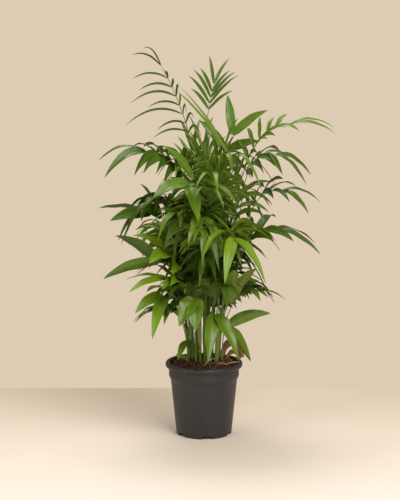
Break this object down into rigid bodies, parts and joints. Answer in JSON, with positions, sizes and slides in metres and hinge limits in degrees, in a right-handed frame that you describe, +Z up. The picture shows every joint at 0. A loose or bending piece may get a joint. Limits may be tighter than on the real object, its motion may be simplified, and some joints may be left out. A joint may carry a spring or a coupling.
{
  "type": "potted bamboo palm",
  "caption": "Clump-forming palm with slender ringed canes and feathery arching fronds, in a tapered round plastic nursery pot.",
  "frame": {"origin": "middle of the pot's flat underside", "axes": "+Z up; -Y towards the side of the plant that the picture shows"},
  "size_m": [0.632, 0.538, 1.0522],
  "materials": {
    "pot_plastic": "satin",
    "soil": "matte",
    "cane_skin": "satin",
    "leaf": "satin"
  },
  "bodies": {
    "root": {"pot": "pot_plastic", "soil": "soil", "cane_01": "cane_skin", "cane_02": "cane_skin", "cane_03": "cane_skin", "cane_04": "cane_skin", "cane_05": "cane_skin", "cane_06": "cane_skin", "cane_07": "cane_skin", "cane_08": "cane_skin", "cane_09": "cane_skin", "cane_10": "cane_skin", "frond_01": "leaf", "frond_02": "leaf", "frond_03": "leaf", "frond_04": "leaf", "frond_05": "leaf", "frond_06": "leaf", "frond_07": "leaf", "frond_08": "leaf", "frond_09": "leaf", "frond_10": "leaf", "frond_11": "leaf", "frond_12": "leaf", "frond_13": "leaf", "frond_14": "leaf", "frond_15": "leaf", "frond_16": "leaf", "frond_17": "leaf", "frond_18": "leaf", "frond_19": "leaf", "frond_20": "leaf", "frond_21": "leaf", "frond_22": "leaf", "frond_23": "leaf", "frond_24": "leaf", "frond_25": "leaf", "frond_26": "leaf", "frond_27": "leaf", "frond_28": "leaf", "frond_29": "leaf", "frond_30": "leaf", "frond_31": "leaf", "frond_32": "leaf", "frond_33": "leaf", "frond_34": "leaf", "frond_35": "leaf", "frond_36": "leaf", "frond_37": "leaf", "frond_38": "leaf", "frond_39": "leaf", "frond_40": "leaf", "frond_41": "leaf", "frond_42": "leaf", "frond_43": "leaf", "frond_44": "leaf", "frond_45": "leaf", "frond_46": "leaf", "frond_47": "leaf"}
  },
  "joints": []
}
